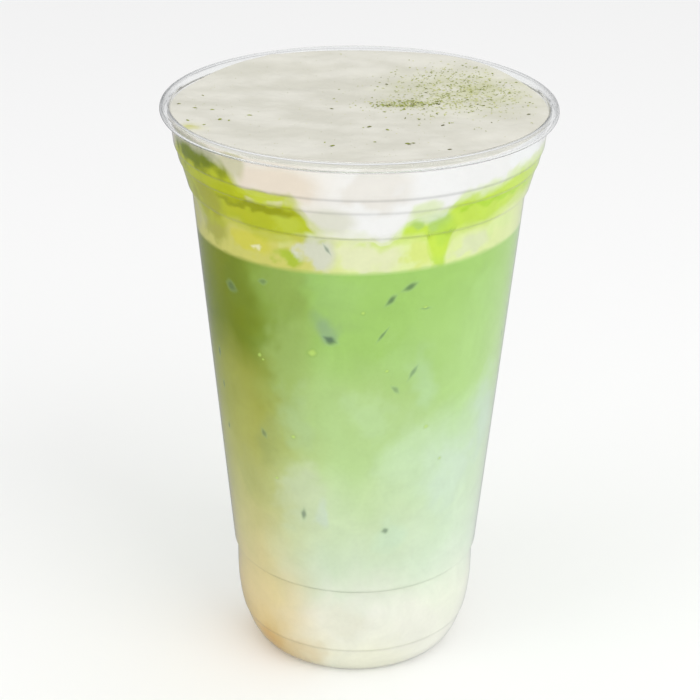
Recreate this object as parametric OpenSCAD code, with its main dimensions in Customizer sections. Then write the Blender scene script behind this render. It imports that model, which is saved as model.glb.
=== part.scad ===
// An iced matcha latte in a clear takeaway cup: milk at the bottom, the milky
// green drink, a pale cream layer, bright matcha, and a thick milk foam on top.
// The cup stands on z = 0 with its axis along Z, and its front faces -Y.

/* [Cup] */
// Height of the cup, from the table to the top of the rim
cup_h = 150; // [140:1:180]
// Outer diameter of the rolled rim
rim_d = 98; // [96:1:118]
// Diameter of the roll that the rim is curled into
roll_d = 2.7; // [2.2:0.1:3.6]
// Thickness of the clear plastic
wall_t = 0.5; // [0.3:0.05:0.8]
// Outer diameter of the body just under the stacking collar
shoulder_d = 83.5; // [68:0.5:85]
// Outer diameter of the body just above its low step
waist_d = 65.4; // [60:0.2:72]
// Height of the low step above the table
waist_h = 28.5; // [24:0.5:60]
// How far the wall steps in at the low step
waist_step = 0.8; // [0.4:0.1:1.2]
// Height of the rounded heel
heel_h = 21; // [12:0.5:23]
// Height of the crease that runs round the heel
crease_h = 8.6; // [5:0.1:11]
// How far the heel steps in below that crease
crease_step = 0.35; // [0.2:0.05:0.6]
// Outer diameter of the ring that the cup stands on
foot_d = 49.6; // [48:0.2:58]
// Width of the flat on that ring
foot_w = 1.5; // [1:0.1:2.5]
// How far the base panel is raised above the table
base_lift = 3; // [1.5:0.1:3.5]

/* [Stacking collar] */
// Height of the collar, from its lowest ring to the top of the rim
collar_h = 20.8; // [18:0.1:26]
// Height from the lowest ring to the middle one
low_ring_h = 7; // [5:0.1:8]
// Height from the middle ring to the highest one
mid_ring_h = 3.6; // [3:0.1:4.5]
// How far the wall under the middle ring lies inside the rim's edge
mid_ring_in = 4.7; // [4.3:0.1:6]
// How far the wall under the highest ring lies inside the rim's edge
top_ring_in = 3.6; // [3:0.1:4]
// How far the wall steps out at the lowest ring
low_ring_step = 0.8; // [0.4:0.1:1]
// How far the wall steps out at each of the two rings above it
ring_step = 0.45; // [0.3:0.05:0.5]

/* [Drink] */
// Space between the drink's pieces and the wall
wall_gap = 0.15; // [0.1:0.01:0.3]
// How far the foam lies below the top of the rim
foam_drop = 2.2; // [2:0.1:3.5]
// Height of the soft swells on the foam
foam_swell = 0.5; // [0.1:0.05:0.8]
// Thickness of the foam between its drips
foam_t = 8.6; // [7:0.1:12]
// Thickness of the bright matcha under the foam
matcha_t = 10.3; // [8:0.1:12]
// Thickness of the pale cream under the matcha
cream_t = 8.6; // [8:0.1:14]
// How much higher the green drink stands on its right side than in its middle
drink_tilt = 1.2; // [0:0.1:2]
// Height of the milk's level above the table
milk_h = 34; // [20:0.5:50]
// Thickness that a layer keeps where a neighbour pushes into it
layer_min = 0.7; // [0.5:0.1:1]

/* [Hidden] */
$fn = 96;
heel_steps = 9;         // straight stretches in the heel's outline, on each side of its crease
columns = 144;          // points round an uneven surface between two layers
ledge_h = 0.5;          // height of the slope at a ring or step
crease_turn = 0.8;      // degrees of the heel's arc that its crease takes
roll_turn = 262;        // degrees that the rim is curled through
roll_steps = 18;        // straight stretches in the outline of that curl
cut_extra = 1;          // how far a cutting shape passes what it cuts

// Where the foam hangs lower (positive depth) or the matcha climbs (negative):
// [direction, half width, depth], in degrees round from +X, degrees and mm.
foam_drips = [[268, 15, 9.2], [212, 18, -7], [338, 18, -2.6], [288, 12, 4.5], [240, 7, 0.8],
              [30, 15, 8.4], [75, 19, -3.6], [112, 13, 6.6], [158, 21, 4.4]];
// The same for the matcha over the cream.
matcha_drips = [[297, 4, 7], [240, 9, 1.3], [338, 17, -3.6], [211, 9, 2.6],
                [14, 9, 3.2], [58, 7, 6.2], [96, 13, -2.4], [140, 9, 5], [176, 10, 3]];
// Shares of the way from the axis to the wall at which a surface has a ring of points.
layer_rings = [0.4, 0.7, 0.88, 1];
foam_rings = [0.2, 0.4, 0.6, 0.78, 0.92, 1];

low_ring_z = cup_h - collar_h;
mid_ring_z = low_ring_z + low_ring_h;
top_ring_z = mid_ring_z + mid_ring_h;
roll_r = roll_d / 2;
roll_x = rim_d / 2 - roll_r;
roll_z = cup_h - roll_r;
band_d = waist_d - 2 * waist_step;
mid_ring_d = rim_d - 2 * mid_ring_in;
top_ring_d = rim_d - 2 * top_ring_in;
foam_z = cup_h - foam_drop;
matcha_z = foam_z - foam_t;
cream_z = matcha_z - matcha_t;
drink_z = cream_z - cream_t;

// A stretch of the heel's outline, which is a quarter of an ellipse from the standing
// ring up to the band, as [radius, height], inset from the true one and stepped in.
function heel_arc(inset, from, to, step) = [for (i = [0:heel_steps])
    let (a = from + (to - from) * i / heel_steps)
    [foot_d / 2 + ((band_d - foot_d) / 2 - step - inset) * sin(a),
     heel_h - (heel_h - inset) * cos(a)]];

// The heel's outline, with its crease.
function heel(inset) = let (crease = acos(1 - crease_h / heel_h))
    concat(heel_arc(inset, 0, crease, crease_step),
           heel_arc(inset, crease + crease_turn, 90, 0));

// The wall's outline from the heel up to the roll, drawn inside the true one by inset.
function wall(inset) = [
    [band_d / 2 - inset, waist_h - ledge_h],
    [waist_d / 2 - inset, waist_h],
    [shoulder_d / 2 - inset, low_ring_z],
    [shoulder_d / 2 + low_ring_step - inset, low_ring_z + ledge_h],
    [mid_ring_d / 2 - inset, mid_ring_z],
    [mid_ring_d / 2 + ring_step - inset, mid_ring_z + ledge_h],
    [top_ring_d / 2 - inset, top_ring_z],
    [top_ring_d / 2 + ring_step - inset, top_ring_z + ledge_h],
    [roll_x - roll_r + wall_t - inset, roll_z]];

// The underside of the base panel, from the axis out to the standing ring.
function base(inset) = [
    [0, base_lift + inset],
    [foot_d / 2 - foot_w - base_lift, base_lift + inset],
    [foot_d / 2 - foot_w, inset]];

// The rim's roll, with the curled sheet's face at radius r from the middle of the roll.
function roll(r) = [for (i = [1:roll_steps])
    let (a = 180 - roll_turn * i / roll_steps)
    [roll_x + r * cos(a), roll_z + r * sin(a)]];

function outline(inset) = concat(base(inset), heel(inset), wall(inset));
function sheet_side(inset, r) = concat(outline(inset), roll(r));
function reverse(list) = [for (i = [len(list) - 1:-1:0]) list[i]];

// Radius of the cup just under the collar, where an uneven surface reaches its full
// height; and the radius that such surfaces are drawn out to.
edge_r = shoulder_d / 2;
reach_r = rim_d / 2 + cut_extra;

function bell(x) = exp(-pow(x, 6));
function between(a, b) = (a - b + 540) % 360 - 180;
function drip(list, a) = [for (d = list) d[2] * bell(between(a, d[0]) / d[1])] * [for (d = list) 1];

// Heights of the surfaces between the layers, in direction a and at a share s of
// the way from the axis to the wall. Past the wall, the uneven ones run on level.
function drink_top(a) = drink_z + drink_tilt * cos(a);
function foam_base(a, s) = let (e = min(s, 1))
    max(matcha_z - e * e * drip(foam_drips, a), drink_top(a) + 2 * layer_min);
function cream_top(a, s) = let (e = min(s, 1))
    max(drink_top(a) + layer_min,
        min(cream_z - e * e * drip(matcha_drips, a), foam_base(a, s) - layer_min));
function foam_top(a, s) = let (e = min(s, 1)) foam_z + foam_swell * (
    0.5 * e * sin(2 * a + 40) + 0.35 * e * e * sin(5 * a + 200 * e)
    + 0.3 * sin(360 * e + 3 * a) * (1 - e) * e + 0.6 * pow(e, 8));

// Points over a surface: its middle, one ring for each share, and one past the wall.
function surface_points(height, shares) = concat(
    [[0, 0, height(0, 0)]],
    [for (s = concat(shares, reach_r / edge_r), i = [0:columns - 1])
        let (a = 360 * i / columns)
        [s * edge_r * cos(a), s * edge_r * sin(a), height(a, s)]]);

// Triangles over those points, facing up or down. first is the middle's number.
function surface_faces(rings, first, up) = [
    for (i = [0:columns - 1], k = [0:rings - 1], half = [0:min(k, 1)])
        let (j = (i + 1) % columns, q = first + 1 + k * columns, p = q - columns,
             t = k == 0 ? [first, q + i, q + j]
                 : half == 0 ? [p + i, q + i, q + j] : [p + i, q + j, p + j])
        up ? [t[0], t[2], t[1]] : t];

// A slab between two surfaces, wider than the cup.
module slab(low, low_shares, high, high_shares) {
    low_n = 1 + columns * (len(low_shares) + 1);
    low_edge = low_n - columns;
    high_edge = low_n + 1 + columns * len(high_shares);
    sides = [for (i = [0:columns - 1], half = [0, 1])
        let (j = (i + 1) % columns)
        half == 0 ? [low_edge + i, high_edge + j, low_edge + j]
                  : [low_edge + i, high_edge + i, high_edge + j]];
    polyhedron(concat(surface_points(low, low_shares), surface_points(high, high_shares)),
               concat(surface_faces(len(low_shares) + 1, 0, false),
                      surface_faces(len(high_shares) + 1, low_n, true), sides));
}

// Everything that the cup's inside would hold up to its rim, with the gap to the wall.
module filling() {
    rotate_extrude() polygon(concat(outline(wall_t + wall_gap), [[0, roll_z]]));
}

// The half of space below the green drink's level, which tilts a little to one side.
module below_drink_top() {
    size = 2 * reach_r;
    translate([0, 0, drink_z]) rotate([0, -atan(drink_tilt / edge_r), 0])
        translate([-size / 2, -size / 2, -cup_h]) cube([size, size, cup_h]);
}

// The sheet is one strip in outline, from the axis along the base, up the wall and
// round the roll, where its inside becomes the roll's outside.
module cup() {
    color([0.86, 0.9, 0.9, 0.35]) rotate_extrude()
        polygon(concat(sheet_side(0, roll_r - wall_t), reverse(sheet_side(wall_t, roll_r))));
}

module milk() {
    color([0.93, 0.92, 0.83]) intersection() {
        filling();
        cylinder(h = milk_h, d = rim_d);
    }
}

module matcha_milk() {
    color([0.64, 0.79, 0.45]) intersection() {
        filling();
        below_drink_top();
        translate([0, 0, milk_h]) cylinder(h = cup_h, d = rim_d);
    }
}

module cream() {
    color([0.9, 0.92, 0.72]) difference() {
        filling();
        below_drink_top();
        slab(function(a, s) cream_top(a, s), layer_rings,
             function(a, s) cream_top(a, s) + cup_h, layer_rings);
    }
}

module matcha() {
    color([0.72, 0.83, 0.25]) intersection() {
        filling();
        slab(function(a, s) cream_top(a, s), layer_rings,
             function(a, s) foam_base(a, s), layer_rings);
    }
}

module foam() {
    color([0.93, 0.92, 0.88]) intersection() {
        filling();
        slab(function(a, s) foam_base(a, s), layer_rings,
             function(a, s) foam_top(a, s), foam_rings);
    }
}

cup();
milk();
matcha_milk();
cream();
matcha();
foam();
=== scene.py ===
"""An iced matcha latte in a clear plastic cup, topped with milk foam and a dusting of matcha.

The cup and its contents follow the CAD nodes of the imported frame. What fills the cup is made
again on finer meshes that reach just into the wall, so that no air gap shows through it. The
foam also gets its relief here, and stands a little higher at the back.
Below, lengths are in millimetres unless they say otherwise, directions in degrees round from
+X, and heights from the floor. Colours of three numbers are sRGB from 0 to 255, and those of
four are linear.
"""
import math
import random

import bmesh
import bpy
import numpy as np
from mathutils import Matrix, Vector, noise
from mathutils.bvhtree import BVHTree


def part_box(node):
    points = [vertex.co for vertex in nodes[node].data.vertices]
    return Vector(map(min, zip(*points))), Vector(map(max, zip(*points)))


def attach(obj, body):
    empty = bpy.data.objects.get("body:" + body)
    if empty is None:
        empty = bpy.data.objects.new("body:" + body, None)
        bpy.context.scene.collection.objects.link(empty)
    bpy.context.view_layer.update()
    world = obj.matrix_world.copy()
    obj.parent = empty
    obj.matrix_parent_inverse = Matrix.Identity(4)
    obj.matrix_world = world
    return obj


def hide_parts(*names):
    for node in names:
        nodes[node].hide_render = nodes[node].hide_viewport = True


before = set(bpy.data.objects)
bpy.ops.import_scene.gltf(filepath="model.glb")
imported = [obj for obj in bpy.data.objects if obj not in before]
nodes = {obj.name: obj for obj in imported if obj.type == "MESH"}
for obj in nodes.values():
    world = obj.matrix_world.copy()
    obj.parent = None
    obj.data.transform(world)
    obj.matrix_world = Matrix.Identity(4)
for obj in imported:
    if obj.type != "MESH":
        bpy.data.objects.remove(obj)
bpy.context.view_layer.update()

MM = 0.001
UP = Vector((0, 0, 1))
WHITE = (1, 1, 1, 1)

CUP_COLUMNS = 288       # faces round the cup
COLUMNS = 480           # faces round the drink's pieces
FOAM_RINGS = 72         # faces from the middle of the foam to the wall
INNER_RINGS = 6         # the same on surfaces that other layers hide
LAYER_STEPS = {"matcha_milk": 0.8, "cream": 0.35, "matcha": 0.35, "foam": 0.5}  # height of faces
MILK_STEP = 0.6         # longest stretch in the milk's outline
CORNER = 0.3            # how far the cup's corners are cut back to round them
STRAIGHT, BLUNT = 0.4, 3    # turns in degrees: a point under the first is left out of an outline,
                            # and a corner under the second isn't rounded
SHARP = 50              # degrees between faces past which the edge between them is shown sharp

# Measuring the CAD nodes.
WELD, TINY = 1e-7, 1e-6     # in metres: points this close are one, and a length this short is none
PROBE_TURN = 0.18       # radians that a node is turned by, so that a cut misses its own edges
WALL_PROBE = 0.1        # direction in radians in which the wall's inside is measured
WALL_SAMPLES = 900      # heights at which it is measured
WALL_TOP = 0.3          # depth under the rim at which that ends
PROBE_IN = 0.35         # distance from the wall at which a layer's edge is measured
FAR = 99.0              # stands for a distance at which a layer has no neighbour

# How far each layer reaches past the CAD node's side, into the wall. Each reaches a little
# further than the one below it, and their seams overlap.
REACH = {"milk": 0.25, "matcha_milk": 0.26, "cream": 0.27, "matcha": 0.28, "foam": 0.29}
OVERLAP = 0.12          # how far a layer runs up into the next one
GAP = 0.15              # between the CAD node's side and the wall

ALBEDO = 0.86           # a surface's linear albedo, as a share of the colour that it shows
GRAIN_SIZE = 3.5        # size of what makes the edges of patches and layers ragged
SWIRL_SIZES = (18, 12)  # size of what bends the milk's colours sideways and up
MILK_DRIFT = (7, 5)     # how far it bends them, in degrees and millimetres
UPPER_DRIFT = (2.5, 1.1)    # the same in the upper layers, where the grain bends them
MILK_SOFT, UPPER_SOFT = 1.2, 0.7    # stretch over which a patch fades, as a share of its half size
RAGGED = 0.35           # how far the grain moves a patch's edge, in the same shares

# How each painted piece looks: how rough and glossy it is, and how strongly it is mottled.
SURFACES = {
    "milk": (0.5, 0, 0.05), "matcha_milk": (0.5, 0, 0.06), "cream": (0.5, 0, 0.05),
    "matcha": (0.5, 0, 0.06), "foam": (0.62, 0.25, 0.025), "ice_edges": (0.5, 0, 0.05),
    "wall_bubbles": (0.5, 0, 0.05),
}
FOAM_GRAIN = (0.12, 1.6)    # depth and size of the foam's fine relief

PLASTIC_IOR = 1.4
PLASTIC_GLINT = (0.4, 0.4, 0.4, 1)      # how strong its glints are
PLASTIC_TINT = (0.97, 0.975, 0.975, 1)
RIM_TINT = (0.36, 0.37, 0.39, 1)        # its tint at the rim, where that is seen aslant
RIM_TINT_FROM, RIM_TINT_FULL = 4, 3     # depths at which that tint starts and is full

# How the side's colour runs up the cup, at the left, the front and the right. Besides the drink's own
# colours, the left holds painted shade and the right painted light, as the light falls from the right.
SIDE_COLOURS_AND_LIGHT = {
    "left": [(7, (222, 196, 136)), (20, (226, 208, 158)), (35, (210, 202, 146)), (50, (190, 190, 124)),
             (70, (172, 176, 92)), (86, (152, 159, 66)), (100, (112, 127, 14)), (118, (120, 133, 12))],
    "front": [(7, (238, 238, 218)), (20, (234, 235, 222)), (35, (206, 222, 192)), (50, (201, 220, 178)),
              (70, (183, 212, 146)), (86, (173, 203, 130)), (100, (160, 198, 108)), (118, (158, 199, 105))],
    "right": [(7, (244, 244, 231)), (20, (239, 244, 225)), (35, (220, 237, 212)), (50, (207, 229, 194)),
              (70, (198, 224, 184)), (86, (179, 216, 136)), (100, (173, 212, 128)), (118, (164, 206, 110))],
}
# Where the painted shade at the left and the painted light at the right lie: middle direction, full half
# width and fade.
SHADED_LEFT_AT, LIT_RIGHT_AT = (206, 16, 40), (334, 14, 46)

# Base colours of the upper layers: at the left, darker with painted shade as well as their own tone, and
# elsewhere. The left is given as above.
UPPER_COLOURS_AND_SHADE = {
    "cream": ((202, 200, 108), (220, 233, 162)),
    "matcha": ((180, 188, 44), (195, 224, 80)),
    "foam": ((230, 223, 210), (237, 237, 235)),
}
UPPER_SHADED_LEFT_AT = (205, 42, 26)

# Patches of colour: direction, height, half width in degrees, half height, colour, strength.
PATCHES = {
    "milk": [
        (234, 5, 18, 4, (212, 186, 134), 0.35), (219, 6.5, 9, 4, (214, 172, 104), 0.6),
        (262, 20, 10, 5, (226, 225, 204), 0.6), (300, 12, 14, 6, (238, 238, 226), 0.7),
    ],
    "matcha_milk": [
        (256, 104, 6, 3.2, (140, 168, 128), 0.8), (262, 114, 9, 8, (152, 186, 110), 0.6),
        (253, 50, 3, 2.4, (200, 216, 210), 0.5),
        (293, 91, 6, 6, (184, 216, 168), 0.5), (313, 58, 11, 9, (207, 228, 204), 0.7),
        (332, 72, 7, 12, (199, 222, 202), 0.6), (283, 46, 7, 5, (200, 225, 198), 0.5),
        (243, 96, 7, 9, (160, 186, 108), 0.6), (229, 114, 8, 9, (112, 130, 34), 0.65),
        (292, 66, 10, 9, (202, 228, 186), 0.5), (276, 81, 6, 5, (186, 215, 158), 0.6),
        (245, 80, 7, 8, (174, 200, 144), 0.6), (245, 56, 8, 9, (200, 214, 180), 0.6),
        (285, 98, 8, 6, (172, 208, 134), 0.4), (318, 34, 12, 5, (218, 230, 208), 0.4),
        (232, 72, 5, 6, (150, 162, 98), 0.4), (222, 58, 7, 7, (172, 178, 112), 0.5),
        (246, 115, 6, 9, (142, 166, 82), 0.7), (305, 98, 6, 5, (170, 208, 122), 0.5),
        (268, 116, 7, 4, (166, 206, 116), 0.4), (324, 110, 8, 7, (172, 212, 130), 0.4),
    ],
    "cream": [
        (231, 125, 9, 2.6, (206, 202, 70), 0.75), (213, 125.5, 8, 4, (162, 164, 66), 0.8),
        (234, 123.6, 1.8, 0.8, (232, 230, 200), 0.7), (247, 122.9, 4.5, 2.4, (164, 188, 52), 0.85),
        (245, 127.6, 4, 1.5, (206, 212, 130), 0.7), (257, 125.6, 6, 4.4, (208, 210, 192), 0.95),
        (275, 125, 9, 4.5, (222, 225, 186), 0.85), (312, 124.6, 7, 2.6, (216, 224, 184), 0.8),
        (298, 123.5, 2.4, 5.2, (184, 220, 82), 0.9), (290.5, 124.5, 4.5, 4, (212, 226, 120), 0.8),
        (326, 127, 8, 2, (212, 234, 152), 0.5), (203, 127, 5, 4, (188, 188, 140), 0.6),
    ],
    "matcha": [
        (211, 144.6, 17, 4.4, (112, 126, 28), 1.0), (213, 132.5, 9, 4.5, (158, 160, 58), 0.8),
        (240, 138, 10, 1.4, (198, 210, 56), 0.9), (236, 135.2, 16, 1.1, (138, 145, 22), 0.75),
        (228, 132.6, 7, 1.4, (184, 188, 42), 0.6), (247, 132.4, 5, 2, (190, 203, 78), 0.6),
        (269, 129.6, 13, 2.2, (220, 225, 190), 1.0), (294, 133, 6, 2.4, (172, 206, 112), 0.85),
        (320, 135.6, 18, 0.7, (170, 214, 46), 0.7), (299, 130, 3, 3, (182, 218, 78), 0.7),
        (227, 137.5, 9, 1.6, (174, 182, 20), 0.7),
    ],
    "foam": [
        (246, 142.5, 12, 4, (226, 213, 194), 0.8), (240, 138.6, 11, 1.5, (188, 200, 46), 0.9),
        (261, 134, 8, 3.5, (214, 214, 196), 0.8), (276, 143, 10, 6, (224, 219, 209), 0.7),
        (300, 143, 14, 4, (236, 236, 235), 0.6), (330, 145, 10, 3, (240, 243, 243), 0.7),
        (231, 145.5, 4.5, 3.5, (188, 186, 142), 0.7), (291, 137.2, 5, 1.6, (206, 224, 150), 0.6),
    ],
}

# What counts as the foam's top: all that lies no further than this under its upper edge, or no
# further than this under the CAD node's highest point and at least this far off the wall.
LEVEL, TOP_DEPTH, OFF_WALL = 0.001, 2.2, 0.2
FOAM_CLEAR = 0.35       # least depth of the foam under the rim
FOAM_RADIUS = 46

# Relief of the foam's top: size and height of its waves, creases and pits, and the stretch at
# the wall over which they die away. A bank rises at the back, from one y on and over a run.
WAVE_SIZE, CREASE_SIZE, PIT_SIZE = 13, 8, 1.8
WAVE_TALL, CREASE_TALL, PIT_DEEP = 0.4, 0.12, 0.3
WAVE_FADE = 2.5
BANK, BANK_FROM, BANK_RUN = 1.3, 16, 26

# A small crest of foam: its middle and half width in x and y, and its height.
CREST, CREST_TALL = (-22, 38, 1.87, 1.87), 1.1

# The colours of the foam's top: its greyer and its whiter parts and the size of these, and the
# stains on it: middle and half width in x and y, colour, strength, and how grainy it is.
FOAM_TOP = ((219, 217, 204), (232, 230, 219))
STREAK_SIZE = 16
FOAM_STAINS = [
    ((27, 13, 17, 15), (194, 199, 128), 0.42, 0.42), ((12, 2.4, 7, 2.4), (168, 180, 84), 0.3, 0.4),
    ((-40.5, -19, 3, 2.5), (206, 206, 110), 0.7, 1),
]

# The layers from the bottom up, and the stretch over which each runs into the one above it.
ORDER = ["milk", "matcha_milk", "cream", "matcha", "foam"]
SOFT = {"milk": 0.1, "matcha_milk": 0.7, "cream": 2.2, "matcha": 2.4}

# Heights of the cup's ledges, and how much their edges shade what lies behind them.
LEDGES = ((8.6, 0.1), (28.2, 0.14), (129.4, 0.2), (136.4, 0.22), (140, 0.24))
LEDGE_HALF = 0.5        # half the width of that shade

# Ice seen where it touches the wall: direction, height, length, width, slope in degrees, and
# how dark it is.
ICE_MARKS = [
    (288, 116.3, 7.2, 2.8, 28, 0.9), (281.5, 113.2, 6.4, 2.6, 44, 0.9), (279, 104, 7.4, 1.5, 55, 0.7),
    (260.5, 102.4, 6.6, 4.4, -24, 1), (291, 93, 7.4, 2, 58, 0.6), (284.5, 88.6, 4.8, 2.2, -50, 0.5),
    (231, 72.2, 4.8, 2.6, -60, 0.6), (220, 110.8, 6, 4.4, -8, 0.6), (236, 115.2, 4, 2.6, 10, 0.5),
    (205, 89, 5.6, 2.4, 82, 0.9), (205.5, 80, 4, 2, 82, 0.7), (206, 68, 4, 2, 78, 0.7),
    (342, 92.6, 5.4, 2, 86, 0.6), (248, 51.2, 5.6, 2.6, 84, 0.8), (283, 47.3, 3.2, 3, 20, 0.8),
    (260, 126.3, 5, 1.5, -58, 0.7), (294, 110, 4.4, 1.2, 0, 0.4), (120, 98, 7, 2.2, 35, 0.8),
    (75, 88, 6, 2, -48, 0.7), (150, 70, 5, 2, 62, 0.6), (40, 108, 7, 2.2, 20, 0.8),
]

# Bubbles that cling to the wall: direction, height and size.
WALL_BUBBLES = [
    (254, 98.4, 1.3), (232, 94.6, 0.8), (233.5, 93.6, 0.5), (245, 73.6, 0.75), (281, 94, 0.55),
    (298, 76.6, 0.7), (272, 110, 0.6), (294, 110.2, 0.7), (236, 60, 0.6), (306, 66, 0.55),
]
BUBBLE_LONG, BUBBLE_WIDE = 3, 2.4       # length and width of a bubble's mark, as shares of its size
BUBBLE_SLOPE, BUBBLE_STRENGTH = 20, 0.8

# The marks that the ice and the bubbles make on the drink's side. A bubble's pale core is a painted
# highlight, and its darker ring a painted shade round it.
ICE_CORE, ICE_RING = (48, 70, 64), (150, 186, 146)
BUBBLE_HIGHLIGHT, BUBBLE_SHADED_RING = (166, 192, 96), (120, 150, 52)
MARK_SIDES, MARK_BANDS = 32, 10     # points round a mark, and bands from its middle to its edge
MARK_HOLE = 0.02        # share of it that one face covers in the middle
MARK_RAGGED = 0.3       # how ragged its outline is
MARK_SWELL = 0.06       # how much further its middle reaches into the wall
MARK_SUNK = 0.01        # how far its edge lies inside the drink
MARK_ROOT = 0.3         # how far off the wall the point lies that closes it
MARK_CREAM = 1.5        # height over the cream's lowest level from which it takes the cream's colour

# Single flakes of matcha on the foam: place in x and y, and length.
FLAKES = [
    (-39.2, 8.6, 1.0), (-44.4, -0.8, 1.4), (-40.1, -3.8, 1.5), (-35.9, -4.5, 1.4), (-26.5, -7.3, 1.5),
    (-33.5, -12.3, 1.7), (-31.3, -12.2, 1.2), (-6.8, -1.0, 1.2), (2.5, -14.9, 1.7), (1, -16, 0.9),
    (6.8, -17, 1.5), (3.7, -26.1, 1.0), (-6.1, -30.1, 1.8), (-8, -27, 0.9), (11.4, -27.3, 2.2),
    (12.6, -26.6, 1.2), (21, -30.6, 1.4), (20, -13, 1.2), (-37, -16.5, 1.4), (-41, -14, 1.2),
]

# Scattered powder. A place is a middle and a spread, each in x and y, and lengths are the least
# and the greatest. A share of the fine flakes falls in the first of their places and the rest in
# the second, and loose ones lie all over. Coarse ones are given as count, place and lengths.
POWDER_SEED = 11
FINE_COUNT, FINE_SHARE, FINE_LENGTHS = 1150, 0.2, (0.3, 1.0)
FINE_PLACES = ((12, 2.4, 5.5, 2), (26, 14, 9.5, 10.5))
LOOSE_COUNT, LOOSE_LENGTHS = 260, (0.15, 0.35)
COARSE_PLACES = ((44, (12, 2.4, 4.5, 1.5), (0.7, 1.5)), (40, (22, 8, 11, 12), (0.6, 1.3)))
POWDER_REACH = 44       # farthest that a fine flake lies from the middle
POWDER_DEPTH = 3        # what is this far under the foam's top gets no powder
FINE_COLOURS = ((142, 150, 82), (204, 206, 146))
COARSE_COLOURS = ((96, 94, 50), (150, 162, 58))

# One flake. Its heights are over the foam, and a pair of them is a fixed height and a share of
# the flake's length.
FLAKE_SIDES = 6
FLAKE_LEAN = 0.3                # how far it leans off the foam's own slope
FLAKE_WIDTHS = (0.3, 0.6)       # least and greatest width, as shares of its length
FLAKE_RAGGED = (0.7, 1.15)      # least and greatest reach of its corners, as shares of their own
FLAKE_EDGE = (0.03, 0.05)       # height of its corners, the second number times a random share
FLAKE_UNDER = -0.05             # height of its underside
FLAKE_TOP = (0.07, 0.1)         # height of its top

# Lamps: place and size in metres, power in watts. All face the cup.
LAMPS = [
    ("key", (0.5, -0.5, 0.7), 0.6, 2.2), ("fill", (-0.8, -0.45, 0.3), 0.5, 1.8),
    ("low_front", (0.05, -0.8, 0.04), 0.4, 1.5),
]

FLOOR_SIDES, FLOOR_RADIUS = 64, 6.0     # the floor's outline, with its radius in metres
FLOOR_COLOUR = (0.9, 0.9, 0.9, 1)

# The surround: its colours low down at the left and at the right. A direction's X runs from the
# one to the other, and its Z runs from these to white.
SURROUND_LOW = ((0.36, 0.37, 0.38, 1), (0.95, 0.95, 0.95, 1))
SURROUND_ACROSS, SURROUND_UP = (-0.2, 0.7), (0.1, 0.36)
SURROUND_STRENGTH = 0.95

# Camera: where it looks, how far off it is, and how it is tilted.
TARGET_SHARE = 0.467    # height looked at, as a share of the cup's
CAMERA_RANGE = 3.34     # distance from there, in cup heights
CAMERA_RISE = 25.9      # degrees above level
CAMERA_ROLL = 0.64      # degrees
CAMERA_LENS, CAMERA_SENSOR = 97.7, 36
CAMERA_SHIFT = (-0.009, 0.06)
CAMERA_NEAREST = 0.01   # metres


def linear(colour):
    """A colour from sRGB 0 to 255 as linear values."""
    c = np.array(colour, float) / 255
    return np.where(c <= 0.04045, c / 12.92, ((c + 0.055) / 1.055) ** 2.4)


def smooth(x):
    """A soft step from 0 to 1 while x goes from 0 to 1."""
    x = np.clip(x, 0, 1)
    return x * x * (3 - 2 * x)


def turn(a, b):
    """How far direction a lies from b, in degrees, from -180 to 180."""
    return (np.asarray(a) - b + 540) % 360 - 180


def fbm(points, size, octaves=3, seed=0):
    """Fractal noise at each point, about -1 to 1, with features of that size in the points' unit.
    Each seed gives another pattern."""
    shift = Vector((seed * 7.3, seed * 3.1, seed * 5.7))
    return np.array([noise.fractal(Vector(p) / size + shift, 1.0, 2.0, octaves) for p in points])


def section(solid):
    """The outline of a round CAD node from the axis, out along its underside and back to the
    axis, as (radius, height) in metres."""
    bm = bmesh.new()
    bm.from_mesh(solid.data)
    bmesh.ops.remove_doubles(bm, verts=bm.verts, dist=WELD)
    bmesh.ops.rotate(bm, verts=bm.verts, cent=(0, 0, 0), matrix=Matrix.Rotation(PROBE_TURN, 3, "Z"))
    for normal in ((0, 1, 0), (1, 0, 0)):
        bmesh.ops.bisect_plane(bm, geom=bm.verts[:] + bm.edges[:] + bm.faces[:], plane_co=(0, 0, 0),
                               plane_no=normal, clear_inner=True, clear_outer=normal[1] == 1)
    bmesh.ops.remove_doubles(bm, verts=bm.verts, dist=TINY)
    at = min((v for v in bm.verts if v.co.x < TINY), key=lambda v: v.co.z)
    path, seen = [at], {at}
    while True:
        ahead = [e.other_vert(at) for e in at.link_edges if e.other_vert(at) not in seen]
        if not ahead:
            break
        at = ahead[0]
        seen.add(at)
        path.append(at)
    points = [(v.co.x, v.co.z) for v in path]
    bm.free()
    return points


def bend(a, b, c):
    """Turn in degrees at b on the way from a to c."""
    one, two = Vector(b) - Vector(a), Vector(c) - Vector(b)
    return math.degrees(one.angle(two, 0))


def rounded(points, cut, passes=2):
    """The outline without its straight-through points and with its corners cut round. A corner
    takes no more than a quarter of the stretches beside it."""
    points = [p for i, p in enumerate(points)
              if i in (0, len(points) - 1) or bend(points[i - 1], p, points[i + 1]) > STRAIGHT]
    for _ in range(passes):
        out = [points[0]]
        for a, b, c in zip(points, points[1:], points[2:]):
            if bend(a, b, c) < BLUNT:
                out.append(b)
                continue
            for end in (a, c):
                away = Vector(end) - Vector(b)
                share = min(0.25, cut / max(away.length, TINY))
                out.append(tuple(Vector(b) + away * share))
        points = out + [points[-1]]
        cut /= 2
    return points


def offset(points, distance):
    """The outline moved outward, away from the solid. Its points on the axis stay there."""
    out = []
    for i, p in enumerate(points):
        a, b = points[max(i - 1, 0)], points[min(i + 1, len(points) - 1)]
        way = (Vector(b) - Vector(a)).normalized()
        r = max(p[0] + way.y * distance, 0) if p[0] > TINY else 0
        out.append((r, p[1] - way.x * distance))
    return out


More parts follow.
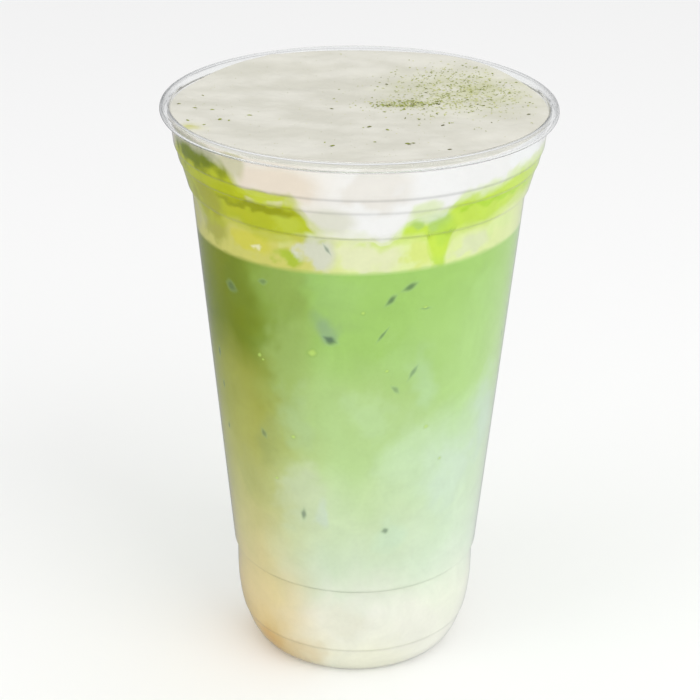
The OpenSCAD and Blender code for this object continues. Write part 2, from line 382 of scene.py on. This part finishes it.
def dense(points, step):
    """The outline with no stretch longer than step."""
    out = [points[0]]
    for a, b in zip(points, points[1:]):
        n = max(1, math.ceil((Vector(b) - Vector(a)).length / step))
        out += [tuple(Vector(a).lerp(Vector(b), k / n)) for k in range(1, n + 1)]
    return out


def lathe(points, columns):
    """Rings of points for an outline turned about the axis, without its two ends on it."""
    a = np.linspace(0, 2 * math.pi, columns, endpoint=False)
    return np.array([np.stack([r * np.cos(a), r * np.sin(a), np.full(columns, z)], 1)
                     for r, z in points if r > TINY])


def loft(name, rings, low, high):
    """A closed mesh over rings of points, from its lower middle point to its upper one."""
    count, columns = rings.shape[:2]
    i = np.arange(columns)
    j = (i + 1) % columns
    faces = []
    for k in range(count - 1):
        faces.append(np.stack([i, j, j + columns, i + columns], 1) + k * columns)
    quads = np.concatenate(faces).tolist()
    last, first = count * columns, (count - 1) * columns
    fans = [(last, int(b), int(a)) for a, b in zip(i, j)]
    fans += [(last + 1, first + int(a), first + int(b)) for a, b in zip(i, j)]
    mesh = bpy.data.meshes.new(name)
    points = np.concatenate([rings.reshape(-1, 3), [low, high]])
    mesh.from_pydata(points.tolist(), [], quads + fans)
    mesh.shade_smooth()
    mesh.set_sharp_from_angle(angle=math.radians(SHARP))
    return add(name, mesh)


def add(name, data):
    """A new object in the scene: a piece, a lamp or the camera."""
    made = bpy.data.objects.new(name, data)
    bpy.context.scene.collection.objects.link(made)
    return made


def face_tree(solid):
    """The faces of a node or a piece, for casting rays at them."""
    bm = bmesh.new()
    bm.from_mesh(solid.data)
    found = BVHTree.FromBMesh(bm)
    bm.free()
    return found


cup_tree = face_tree(nodes["cup"])
rim_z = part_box("cup")[1].z
top_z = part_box("foam")[1].z
heights = np.linspace(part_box("matcha_milk")[0].z, rim_z - WALL_TOP * MM, WALL_SAMPLES)
outward = Vector((math.cos(WALL_PROBE), math.sin(WALL_PROBE), 0))
inner_r = [cup_tree.ray_cast(Vector((0, 0, h)), outward)[0].xy.length for h in heights]


def inside(z):
    """Radius of the cup's inside at a height, from the milk's top upward."""
    return np.interp(z, heights, inner_r)


def cast(node_tree, x, y, upper, miss):
    """Height of a node's upper or lower face over a point, or miss."""
    start = Vector((x, y, rim_z * 2 if upper else -rim_z))
    hit = node_tree.ray_cast(start, -UP if upper else UP)[0]
    return hit.z if hit else miss


def face_rings(name, upper, count, reach):
    """Rings of points over a layer's upper or lower face, from near the middle to the wall. The
    edge's height and the wall's radius there depend on each other, so they are found in turn."""
    node_tree = face_tree(nodes[name])
    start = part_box(name)[0].z
    shares = (np.arange(count) + 1) / count
    rings = np.zeros((count, COLUMNS, 3))
    for c in range(COLUMNS):
        a = 2 * math.pi * c / COLUMNS
        z = start
        for _ in range(3):
            r = inside(z) - PROBE_IN * MM
            z = cast(node_tree, r * math.cos(a), r * math.sin(a), upper, z)
        edge = inside(z) + reach
        for k, s in enumerate(shares):
            r = min(s * edge, inside(z) - PROBE_IN * MM)
            z_here = cast(node_tree, r * math.cos(a), r * math.sin(a), upper, z) if s < 1 else z
            rings[k, c] = (s * edge * math.cos(a), s * edge * math.sin(a), z_here)
    return rings


def layer(name, top_rings=INNER_RINGS, lift=OVERLAP * MM):
    """A layer of the drink as a closed mesh, with the wall's outline up its side. Returns the
    piece and how far each of its points is above its lower edge and below its upper one."""
    reach = (REACH[name] - GAP) * MM
    low = face_rings(name, False, INNER_RINGS, reach)
    high = face_rings(name, True, top_rings, reach)
    high[:, :, 2] += lift
    rows = max(4, math.ceil(float((high[-1, :, 2] - low[-1, :, 2]).mean()) / (LAYER_STEPS[name] * MM)))
    side = []
    for k in range(1, rows):
        z = low[-1, :, 2] + (high[-1, :, 2] - low[-1, :, 2]) * k / rows
        r = inside(z) + reach
        a = np.arange(COLUMNS) * 2 * math.pi / COLUMNS
        side.append(np.stack([r * np.cos(a), r * np.sin(a), z], 1))
    rings = np.concatenate([low, np.array(side), high[::-1]])
    middle = [np.array([0, 0, part[0, :, 2].mean()]) for part in (low, high)]
    piece = loft(name + "_fill", rings, *middle)
    column = np.concatenate([np.tile(np.arange(COLUMNS), len(rings)), [0, 0]])
    z = np.concatenate([rings[:, :, 2].ravel(), [m[2] for m in middle]])
    above = (z - low[-1, column, 2]) / MM
    below = (high[-1, column, 2] - z) / MM
    return piece, above, below


def points_of(piece):
    """The places of a piece's points, in metres."""
    co = np.empty(len(piece.data.vertices) * 3)
    piece.data.vertices.foreach_get("co", co)
    return co.reshape(-1, 3)


def polar(points):
    """Directions in degrees and heights in millimetres."""
    return np.degrees(np.arctan2(points[:, 1], points[:, 0])) % 360, points[:, 2] / MM


def around(direction, at):
    """How much a direction belongs to a stretch given as (middle, full half width, fade)."""
    middle, full, fade = at
    return smooth((full + fade - np.abs(turn(direction, middle))) / fade)


def mix(base, colour, share):
    """The base colours with that share, from 0 to 1, of another colour."""
    share = np.clip(share, 0, 1)[:, None]
    return base * (1 - share) + colour * share


def ladder(shades, z):
    """Colours at those heights, from a list of heights and colours."""
    at = [s[0] for s in shades]
    colours = linear([s[1] for s in shades])
    return np.stack([np.interp(z, at, colours[:, c]) for c in range(3)], 1)


def patched(base, patches, direction, z, grain, soft):
    """The colours with patches laid over them. A patch's edge fades over a stretch, soft, that is
    a share of its half size, and the grain makes it ragged."""
    for at, height, wide, tall, colour, strength in patches:
        far = np.hypot(turn(direction, at) / wide, (z - height) / tall)
        share = smooth((1 + 0.5 * soft - far + RAGGED * grain) / soft)
        base = mix(base, linear(colour), strength * share)
    return base


def paint(piece, colours):
    """Keep the colours in the mesh, scaled so that the lamps make them show as they are."""
    kept = piece.data.color_attributes.new("paint", "FLOAT_COLOR", "POINT")
    kept.data.foreach_set("color", np.c_[colours * ALBEDO, np.ones(len(colours))].ravel())


def side_colour(name, points, grain, swirls):
    """A layer's colours at points on its side: its own, with painted shade at the left and, in the two
    lower layers, painted light at the right.
    """
    direction, z = polar(points)
    if name in ("milk", "matcha_milk"):
        direction, z = direction + MILK_DRIFT[0] * swirls[0], z + MILK_DRIFT[1] * swirls[1]
        # Painted shade darkens the left and painted light brightens the right.
        left, right = around(direction, SHADED_LEFT_AT), around(direction, LIT_RIGHT_AT)
        base = ladder(SIDE_COLOURS_AND_LIGHT["front"], z) * (1 - left - right)[:, None]
        base += ladder(SIDE_COLOURS_AND_LIGHT["left"], z) * left[:, None]
        base += ladder(SIDE_COLOURS_AND_LIGHT["right"], z) * right[:, None]
        both = PATCHES["milk"] + PATCHES["matcha_milk"]
        return patched(base, both, direction, z, grain, MILK_SOFT)
    direction, z = direction + UPPER_DRIFT[0] * grain, z + UPPER_DRIFT[1] * grain
    # At the left the upper layers are darker, partly with painted shade.
    at_left, elsewhere = linear(UPPER_COLOURS_AND_SHADE[name])
    left = around(direction, UPPER_SHADED_LEFT_AT)[:, None]
    base = at_left * left + elsewhere * (1 - left)
    return patched(base, PATCHES[name], direction, z, grain, UPPER_SOFT)


def colours_of(name, points, above, below):
    """A layer's colours, which run into its neighbours' at its edges."""
    grain = fbm(points, GRAIN_SIZE * MM, 3, 3)
    sideways, upward = SWIRL_SIZES
    swirls = fbm(points, sideways * MM, 4, 1), fbm(points * (1, 1, 0.7), upward * MM, 4, 2)
    colours = side_colour(name, points, grain, swirls)
    at = ORDER.index(name)
    for step, inward in ((1, below), (-1, above)):
        if 0 <= at + step < len(ORDER):
            other = ORDER[at + step]
            soft = SOFT[ORDER[min(at, at + step)]]
            share = 0.5 * smooth(1 - (inward + 0.5 * soft * grain) / soft)
            colours = mix(colours, side_colour(other, points, grain, swirls), share)
    return colours


def wire(net, target, values):
    """Set a node's inputs, each to a value or to another node's output."""
    for name, value in values.items():
        if isinstance(value, bpy.types.NodeSocket):
            net.links.new(value, target.inputs[name])
        else:
            target.inputs[name].default_value = value


def node(net, kind, values=None, **settings):
    """A new shader node with those inputs and settings."""
    made = net.nodes.new("ShaderNode" + kind)
    for name, value in settings.items():
        setattr(made, name, value)
    wire(net, made, values or {})
    return made


def new_material(name):
    """A new material, its nodes and its shader."""
    mat = bpy.data.materials.new(name)
    mat.use_nodes = True
    return mat, mat.node_tree, mat.node_tree.nodes["Principled BSDF"]


def ledge_shade(net, place):
    """The output of nodes that give 1, or less in a thin line behind each of the cup's ledges."""
    parts = node(net, "SeparateXYZ", {0: place.outputs["Object"]})
    share = node(net, "Math", {0: parts.outputs["Z"], 1: rim_z}, operation="DIVIDE")
    ramp = node(net, "ValToRGB", {"Fac": share.outputs[0]})
    stops = ramp.color_ramp.elements
    while len(stops) > 1:
        stops.remove(stops[-1])
    stops[0].position, stops[0].color = 0, WHITE
    for ledge, shade in LEDGES:
        for away, value in ((-LEDGE_HALF, 1), (0, 1 - shade), (LEDGE_HALF, 1)):
            stop = stops.new((ledge + away) * MM / rim_z)
            stop.color = (value, value, value, 1)
    return ramp.outputs["Color"]


def painted(name, grain=None):
    """A material whose colour comes from the mesh, with swirls and mottling of its own. A grain
    is the depth and size of a fine relief."""
    roughness, gloss, mottle = SURFACES[name]
    mat, net, shader = new_material(name)
    place = node(net, "TexCoord")
    at = place.outputs["Object"]
    colour = node(net, "Attribute", attribute_name="paint")
    swirl = node(net, "TexNoise", {"Vector": at, "Scale": 70, "Detail": 5, "Distortion": 2.2})
    fine = node(net, "TexNoise", {"Vector": at, "Scale": 900, "Detail": 3})
    both = node(net, "Math", {0: fine.outputs["Fac"], 1: 0.45, 2: swirl.outputs["Fac"]},
                operation="MULTIPLY_ADD")
    bright = node(net, "MapRange", {"Value": both.outputs[0], "From Min": 0.4, "From Max": 1.05,
                                    "To Min": 1 - mottle, "To Max": 1 + mottle})
    shaded = node(net, "Math", {0: bright.outputs[0], 1: ledge_shade(net, place)},
                  operation="MULTIPLY")
    tint = node(net, "HueSaturation", {"Value": shaded.outputs[0], "Color": colour.outputs["Color"]})
    wire(net, shader, {"Roughness": roughness, "Specular IOR Level": gloss,
                       "Base Color": tint.outputs["Color"]})
    if grain:
        depth, size = grain
        bumps = node(net, "TexNoise", {"Vector": at, "Scale": 1 / (size * MM), "Detail": 4})
        bump = node(net, "Bump", {"Strength": 0.5, "Distance": depth * MM, "Height": bumps.outputs["Fac"]})
        wire(net, shader, {"Normal": bump.outputs["Normal"]})
    return mat


def clear_plastic():
    """Clear moulded plastic that lets the lamps' light through to what it holds. Its rim shows
    darker where it is seen aslant."""
    mat, net, shader = new_material("clear_plastic")
    place = node(net, "TexCoord")
    aslant = node(net, "LayerWeight", {"Blend": 0.5})
    grazing = node(net, "MapRange", {"Value": aslant.outputs["Facing"], "From Min": 0.5})
    parts = node(net, "SeparateXYZ", {0: place.outputs["Object"]})
    at_rim = node(net, "MapRange", {"Value": parts.outputs["Z"], "From Min": rim_z - RIM_TINT_FROM * MM,
                                    "From Max": rim_z - RIM_TINT_FULL * MM})
    both = node(net, "Math", {0: grazing.outputs[0], 1: at_rim.outputs[0]}, operation="MULTIPLY")
    tint = node(net, "Mix", {"Factor": both.outputs[0], "A": PLASTIC_TINT, "B": RIM_TINT},
                data_type="RGBA")
    uneven = node(net, "TexNoise", {"Vector": place.outputs["Object"], "Scale": 60, "Detail": 4})
    rough = node(net, "MapRange", {"Value": uneven.outputs["Fac"], "To Min": 0.02, "To Max": 0.09})
    wire(net, shader, {"Transmission Weight": 1, "IOR": PLASTIC_IOR, "Specular Tint": PLASTIC_GLINT,
                       "Base Color": tint.outputs["Result"], "Roughness": rough.outputs[0]})
    path = node(net, "LightPath")
    light = node(net, "Math", {0: path.outputs["Is Shadow Ray"], 1: path.outputs["Is Diffuse Ray"]},
                 operation="MAXIMUM")
    through = node(net, "BsdfTransparent")
    either = node(net, "MixShader", {0: light.outputs[0], 1: shader.outputs[0], 2: through.outputs[0]})
    wire(net, net.nodes["Material Output"], {"Surface": either.outputs[0]})
    return mat


def speckled(name, dark, light, scale):
    """A material whose colour runs from dark to light in small specks."""
    mat, net, shader = new_material(name)
    place = node(net, "TexCoord")
    specks = node(net, "TexNoise", {"Vector": place.outputs["Object"], "Scale": scale, "Detail": 2})
    ramp = node(net, "ValToRGB", {"Fac": specks.outputs["Fac"]})
    for stop, position, colour in zip(ramp.color_ramp.elements, (0.38, 0.62), (dark, light)):
        stop.position = position
        stop.color = (*linear(colour), 1)
    wire(net, shader, {"Roughness": 0.8, "Base Color": ramp.outputs["Color"]})
    return mat


def finish_piece(piece, mat, slot, *replaced):
    """Give a piece its material and its body, and hide the nodes that it stands for. The slot is not used.
    """
    piece.data.materials.append(mat)
    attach(piece, "root")
    if replaced:
        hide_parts(*replaced)
    return piece


def turned(name, outline, columns):
    """A piece whose outline is turned about the axis."""
    low, high = outline[0][1], outline[-1][1]
    return loft(name, lathe(outline, columns), (0, 0, low), (0, 0, high))


def make_cup():
    """The cup: the CAD outline with its corners rounded as moulded plastic has them."""
    cup = turned("clear_cup", rounded(section(nodes["cup"]), CORNER * MM), CUP_COLUMNS)
    finish_piece(cup, clear_plastic(), "clear_cup", "cup")


def make_milk():
    """The milk at the bottom, which follows the cup's heel and raised base."""
    outline = offset(dense(section(nodes["milk"]), MILK_STEP * MM), REACH["milk"] * MM)
    milk = turned("milk_fill", outline, COLUMNS)
    points = points_of(milk)
    depth = (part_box("milk")[1].z - points[:, 2]) / MM
    paint(milk, colours_of("milk", points, np.full(len(depth), FAR), depth))
    finish_piece(milk, painted("milk"), "milk", "milk")


def make_layer(name):
    """One of the layers between the milk and the foam."""
    piece, above, below = layer(name)
    paint(piece, colours_of(name, points_of(piece), above, below))
    finish_piece(piece, painted(name), name, name)


def spot(points, place):
    """How much each point belongs to a soft spot, given as its middle and half width in x and y."""
    x, y, wide_x, wide_y = place
    return np.exp(-((points[:, 0] / MM - x) / wide_x) ** 2 - ((points[:, 1] / MM - y) / wide_y) ** 2)


def foam_relief(points):
    """How much higher than its level face the foam's top is at each point, in millimetres: waves,
    creases and pits that die away at the wall, a small crest, and a bank at the back."""
    flat = points * (1, 1, 0)
    waves = fbm(flat, WAVE_SIZE * MM, 3, 4)
    creases = 1 - 2 * np.abs(fbm(flat * (0.8, 1.5, 1), CREASE_SIZE * MM, 3, 5))
    pits = np.clip(fbm(flat, PIT_SIZE * MM, 2, 6) - 0.3, 0, 1)
    off_wall = inside(top_z) - np.hypot(points[:, 0], points[:, 1])
    uneven = WAVE_TALL * waves + CREASE_TALL * creases - PIT_DEEP * pits
    bank = BANK * smooth((points[:, 1] / MM - BANK_FROM) / BANK_RUN)
    return smooth(off_wall / (WAVE_FADE * MM)) * uneven + CREST_TALL * spot(points, CREST) + bank


def foam_top_colours(points, flat):
    """Colours of the foam's top: patchy whites, stained by matcha here and there."""
    grain = fbm(points, GRAIN_SIZE * MM, 3, 3)
    streaks = fbm(flat * (1, 1.6, 1), STREAK_SIZE * MM, 4, 7)
    outward = np.hypot(points[:, 0], points[:, 1]) / FOAM_RADIUS / MM
    greyer = np.tile(linear(FOAM_TOP[0]), (len(points), 1))
    colours = mix(greyer, linear(FOAM_TOP[1]), smooth(0.4 + 0.9 * streaks + 0.3 * outward ** 4))
    for place, colour, strength, grainy in FOAM_STAINS:
        colours = mix(colours, linear(colour), spot(points, place) * (strength + grainy * grain))
    return colours


def make_foam():
    """The milk foam, with its relief on top. Its rim stays on the cup's wall."""
    foam, above, below = layer("foam", FOAM_RINGS, 0)
    points = points_of(foam)
    flat = points * (1, 1, 0)
    wall = inside(points[:, 2])
    near_top = points[:, 2] > top_z - TOP_DEPTH * MM
    off_wall = np.hypot(points[:, 0], points[:, 1]) < wall - OFF_WALL * MM
    on_top = (below < LEVEL) | near_top & off_wall
    colours = colours_of("foam", points, above, below)
    points[:, 2] += np.where(on_top, foam_relief(points), 0) * MM
    points[:, 2] = np.minimum(points[:, 2], rim_z - FOAM_CLEAR * MM)
    points[:, :2] *= (inside(points[:, 2]) / wall)[:, None]
    foam.data.vertices.foreach_set("co", points.ravel())
    foam.data.update()
    paint(foam, np.where(on_top[:, None], foam_top_colours(points, flat), colours))
    return finish_piece(foam, painted("foam", FOAM_GRAIN), "foam", "foam")


def flakes(name, places, foam_tree, rand, mat):
    """One mesh of thin ragged flakes that lie on the foam at (x, y, length)."""
    verts, faces = [], []
    for x, y, length in places:
        hit, normal = foam_tree.ray_cast(Vector((x * MM, y * MM, rim_z * 2)), -UP)[:2]
        if hit is None or hit.z < top_z - POWDER_DEPTH * MM:
            continue
        lean = Vector((rand.uniform(-FLAKE_LEAN, FLAKE_LEAN), rand.uniform(-FLAKE_LEAN, FLAKE_LEAN), 1))
        spin = Matrix.Rotation(rand.uniform(0, 2 * math.pi), 3, "Z")
        laid = (lean + normal).to_track_quat("Z", "X").to_matrix() @ spin
        wide = rand.uniform(*FLAKE_WIDTHS)
        first = len(verts)
        for k in range(FLAKE_SIDES):
            a = 2 * math.pi * k / FLAKE_SIDES
            far = length / 2 * rand.uniform(*FLAKE_RAGGED)
            tall = FLAKE_EDGE[0] + FLAKE_EDGE[1] * length * rand.random()
            verts.append(hit + laid @ Vector((far * math.cos(a), far * wide * math.sin(a), tall)) * MM)
        for tall in (FLAKE_UNDER, FLAKE_TOP[0] + FLAKE_TOP[1] * length):
            verts.append(hit + laid @ Vector((0, 0, tall)) * MM)
        under, top = first + FLAKE_SIDES, first + FLAKE_SIDES + 1
        for k in range(FLAKE_SIDES):
            one, two = first + k, first + (k + 1) % FLAKE_SIDES
            faces += [(two, one, under), (one, two, top)]
    mesh = bpy.data.meshes.new(name)
    mesh.from_pydata([tuple(v) for v in verts], [], faces)
    finish_piece(add(name, mesh), mat, "powder")


def make_powder(foam):
    """Matcha powder on the foam: a dusting of fine flakes, and coarser ones in two places and
    singly."""
    foam_tree = face_tree(foam)
    rand = random.Random(POWDER_SEED)
    fine = []
    while len(fine) < FINE_COUNT:
        x, y, wide_x, wide_y = FINE_PLACES[0 if rand.random() < FINE_SHARE else 1]
        x, y = rand.gauss(x, wide_x), rand.gauss(y, wide_y)
        if math.hypot(x, y) < POWDER_REACH:
            fine.append((x, y, rand.uniform(*FINE_LENGTHS)))
    for _ in range(LOOSE_COUNT):
        a, far = rand.uniform(0, 2 * math.pi), POWDER_REACH * math.sqrt(rand.random())
        fine.append((far * math.cos(a), far * math.sin(a), rand.uniform(*LOOSE_LENGTHS)))
    coarse = list(FLAKES)
    for count, (x, y, wide_x, wide_y), lengths in COARSE_PLACES:
        for _ in range(count):
            coarse.append((rand.gauss(x, wide_x), rand.gauss(y, wide_y), rand.uniform(*lengths)))
    fine_look = speckled("powder_fine", *FINE_COLOURS, 700)
    flakes("powder_fine", fine, foam_tree, rand, fine_look)
    coarse_look = speckled("powder_coarse", *COARSE_COLOURS, 500)
    flakes("powder_coarse", coarse, foam_tree, rand, coarse_look)


def mark_point(mark, number, angle, far, pointed):
    """A point on a mark, at an angle round it and a share of the way from its middle."""
    at, height, length, width, slope = mark[:5]
    slant = math.radians(slope)
    ragged = 1 + MARK_RAGGED * noise.noise(Vector((math.cos(angle), math.sin(angle), number * 3.7)))
    u = length / 2 * math.cos(angle) * far * ragged
    v = width / 2 * math.sin(angle) * far * ragged * (abs(math.sin(angle)) if pointed else 1)
    z = (height + u * math.sin(slant) + v * math.cos(slant)) * MM
    proud = REACH["matcha_milk"] - GAP + MARK_SWELL * (1 - far ** 2) - MARK_SUNK
    r = inside(z) + proud * MM
    way = math.radians(at) + (u * math.cos(slant) - v * math.sin(slant)) * MM / r
    return r * math.cos(way), r * math.sin(way), z


def wall_marks(name, marks, core, ring, pointed):
    """One mesh of thin lenses on the drink's side, each given as direction, height, length, width, slope
    and strength. Its core is the drink's colour darkened and tinted, and its ring is lightly tinted; on the
    bubbles the pale core is a painted highlight and the darker ring a painted shade round it. A hidden
    point inside the drink closes it."""
    verts, faces, shares, strengths = [], [], [], []
    for number, mark in enumerate(marks):
        at, height, strength = math.radians(mark[0]), mark[1] * MM, mark[5]
        first = len(verts)
        for band in range(MARK_BANDS + 1):
            far = max(band / MARK_BANDS, MARK_HOLE)
            for k in range(MARK_SIDES):
                verts.append(mark_point(mark, number, 2 * math.pi * k / MARK_SIDES, far, pointed))
                shares.append(far)
        for band in range(MARK_BANDS):
            start = first + band * MARK_SIDES
            for k in range(MARK_SIDES):
                one, two = start + k, start + (k + 1) % MARK_SIDES
                faces.append((one, one + MARK_SIDES, two + MARK_SIDES, two))
        outer, root = first + MARK_BANDS * MARK_SIDES, len(verts)
        r = inside(height) - MARK_ROOT * MM
        verts.append((r * math.cos(at), r * math.sin(at), height))
        shares.append(1)
        strengths += [strength] * (len(verts) - first)
        faces += [(root, outer + (k + 1) % MARK_SIDES, outer + k) for k in range(MARK_SIDES)]
        faces.append(tuple(range(first, first + MARK_SIDES)))
    mesh = bpy.data.meshes.new(name)
    mesh.from_pydata(verts, [], faces)
    mesh.shade_smooth()
    piece = add(name, mesh)
    points, shares = points_of(piece), np.array(shares)
    away = np.full(len(points), FAR)
    in_milk = points[:, 2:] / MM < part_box("cream")[0].z / MM + MARK_CREAM
    host = np.where(in_milk, colours_of("matcha_milk", points, away, away),
                    colours_of("cream", points, away, away))
    colours = mix(host, linear(ring), 0.2 * smooth((1 - shares) / 0.5))
    core_share = np.array(strengths) * smooth((0.75 - shares) / 0.6)
    paint(piece, mix(colours, 0.3 * host + linear(core), core_share))
    finish_piece(piece, painted(name), "matcha_milk")


def make_floor():
    """A plain pale floor, which the cup's gloss doesn't mirror."""
    mesh = bpy.data.meshes.new("floor")
    turns = [2 * math.pi * k / FLOOR_SIDES for k in range(FLOOR_SIDES)]
    verts = [(FLOOR_RADIUS * math.cos(a), FLOOR_RADIUS * math.sin(a), 0) for a in turns]
    mesh.from_pydata(verts, [], [tuple(range(FLOOR_SIDES))])
    floor = add("floor", mesh)
    mat, net, shader = new_material("floor")
    wire(net, shader, {"Base Color": FLOOR_COLOUR, "Roughness": 0.9, "Specular IOR Level": 0})
    mesh.materials.append(mat)
    floor.visible_glossy = False


def make_surround():
    """A pale surround. To light and reflections it is greyer low down, most of all at the left,
    so that the cup's edges show. To the camera it is white."""
    world = bpy.data.worlds.new("surround")
    bpy.context.scene.world = world
    world.use_nodes = True
    net = world.node_tree
    place = node(net, "TexCoord")
    parts = node(net, "SeparateXYZ", {0: place.outputs["Generated"]})
    across = node(net, "MapRange", {"Value": parts.outputs["X"], "From Min": SURROUND_ACROSS[0],
                                    "From Max": SURROUND_ACROSS[1]})
    up = node(net, "MapRange", {"Value": parts.outputs["Z"], "From Min": SURROUND_UP[0],
                                "From Max": SURROUND_UP[1]})
    low = node(net, "Mix", {"Factor": across.outputs[0], "A": SURROUND_LOW[0], "B": SURROUND_LOW[1]},
               data_type="RGBA")
    high = node(net, "Mix", {"Factor": up.outputs[0], "A": low.outputs["Result"], "B": WHITE},
                data_type="RGBA")
    path = node(net, "LightPath")
    seen = node(net, "Mix", {"Factor": path.outputs["Is Camera Ray"], "A": high.outputs["Result"],
                             "B": WHITE}, data_type="RGBA")
    wire(net, net.nodes["Background"], {"Color": seen.outputs["Result"], "Strength": SURROUND_STRENGTH})


def make_lamps():
    """Soft square lamps that face the middle of the cup."""
    for name, at, width, power in LAMPS:
        lamp = bpy.data.lights.new(name, "AREA")
        lamp.size, lamp.energy = width, power
        holder = add(name, lamp)
        holder.location = at
        aim = Vector((0, 0, rim_z / 2)) - Vector(at)
        holder.rotation_euler = aim.to_track_quat("-Z", "Y").to_euler()


def make_camera():
    """The camera at the photograph's viewing angle."""
    rise = math.radians(CAMERA_RISE)
    back = Vector((0, -math.cos(rise), math.sin(rise)))
    data = bpy.data.cameras.new("camera")
    data.lens, data.sensor_width = CAMERA_LENS, CAMERA_SENSOR
    data.shift_x, data.shift_y = CAMERA_SHIFT
    data.clip_start = CAMERA_NEAREST
    cam = add("camera", data)
    cam.location = Vector((0, 0, TARGET_SHARE * rim_z)) + back * CAMERA_RANGE * rim_z
    level = (-back).to_track_quat("-Z", "Y").to_matrix()
    cam.rotation_euler = (level @ Matrix.Rotation(math.radians(CAMERA_ROLL), 3, "Z")).to_euler()
    bpy.context.scene.camera = cam


make_cup()
make_milk()
for name in ("matcha_milk", "cream", "matcha"):
    make_layer(name)
make_powder(make_foam())
wall_marks("ice_edges", ICE_MARKS, ICE_CORE, ICE_RING, True)
# Each bubble gets a painted highlight in its core and a painted shade in its ring.
bubbles = [(at, height, BUBBLE_LONG * r, BUBBLE_WIDE * r, BUBBLE_SLOPE, BUBBLE_STRENGTH)
           for at, height, r in WALL_BUBBLES]
wall_marks("wall_bubbles", bubbles, BUBBLE_HIGHLIGHT, BUBBLE_SHADED_RING, False)

make_floor()
make_surround()
make_lamps()
make_camera()
bpy.context.scene.view_settings.view_transform = "Standard"
